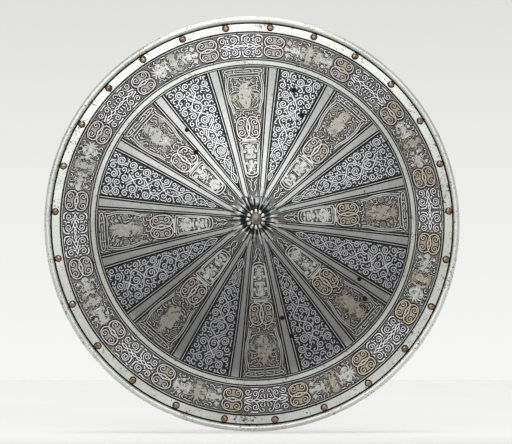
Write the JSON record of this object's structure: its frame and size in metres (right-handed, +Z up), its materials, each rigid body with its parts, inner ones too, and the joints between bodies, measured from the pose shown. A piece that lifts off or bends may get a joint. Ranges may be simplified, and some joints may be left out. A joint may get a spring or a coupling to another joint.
{
  "type": "round shield",
  "caption": "Dished round steel shield with a rolled wired rim, etched radial panels between plain strips, a rosette boss and a riveted lining band.",
  "frame": {"origin": "on the bowl's axis, in the plane that the back of the rolled rim touches", "axes": "+Z up as shown, +Y along the bowl's axis towards the bearer's side, so the face looks towards -Y; +X to the right seen from the front"},
  "size_m": [0.58, 0.0896, 0.58],
  "materials": {
    "etched_steel": "polished strips and rings, with etched, blackened and partly gilt panels between them",
    "rim_iron": "dark forged iron wire",
    "rivet_brass": "dull, brown brass caps",
    "boss_copper": "worn gilt copper alloy, rubbed and grey",
    "lining_leather": "old dark leather",
    "dark_iron": "blackened sheet iron"
  },
  "bodies": {
    "root": {"shield_plate": "etched_steel", "rim_wire": "rim_iron", "boss_rosette": "boss_copper", "boss_rivet": "boss_copper", "boss_back_washer": "dark_iron", "lining_band": "lining_leather", "lining_rivet_01": "rivet_brass", "lining_rivet_02": "rivet_brass", "lining_rivet_03": "rivet_brass", "lining_rivet_04": "rivet_brass", "lining_rivet_05": "rivet_brass", "lining_rivet_06": "rivet_brass", "lining_rivet_07": "rivet_brass", "lining_rivet_08": "rivet_brass", "lining_rivet_09": "rivet_brass", "lining_rivet_10": "rivet_brass", "lining_rivet_11": "rivet_brass", "lining_rivet_12": "rivet_brass", "lining_rivet_13": "rivet_brass", "lining_rivet_14": "rivet_brass", "lining_rivet_15": "rivet_brass", "lining_rivet_16": "rivet_brass", "lining_rivet_17": "rivet_brass", "lining_rivet_18": "rivet_brass", "lining_rivet_19": "rivet_brass", "lining_rivet_20": "rivet_brass", "lining_rivet_21": "rivet_brass", "lining_rivet_22": "rivet_brass", "lining_rivet_23": "rivet_brass", "lining_rivet_24": "rivet_brass", "lining_rivet_25": "rivet_brass", "lining_rivet_26": "rivet_brass", "lining_washer_01": "dark_iron", "lining_washer_02": "dark_iron", "lining_washer_03": "dark_iron", "lining_washer_04": "dark_iron", "lining_washer_05": "dark_iron", "lining_washer_06": "dark_iron", "lining_washer_07": "dark_iron", "lining_washer_08": "dark_iron", "lining_washer_09": "dark_iron", "lining_washer_10": "dark_iron", "lining_washer_11": "dark_iron", "lining_washer_12": "dark_iron", "lining_washer_13": "dark_iron", "lining_washer_14": "dark_iron", "lining_washer_15": "dark_iron", "lining_washer_16": "dark_iron", "lining_washer_17": "dark_iron", "lining_washer_18": "dark_iron", "lining_washer_19": "dark_iron", "lining_washer_20": "dark_iron", "lining_washer_21": "dark_iron", "lining_washer_22": "dark_iron", "lining_washer_23": "dark_iron", "lining_washer_24": "dark_iron", "lining_washer_25": "dark_iron", "lining_washer_26": "dark_iron"}
  },
  "joints": []
}
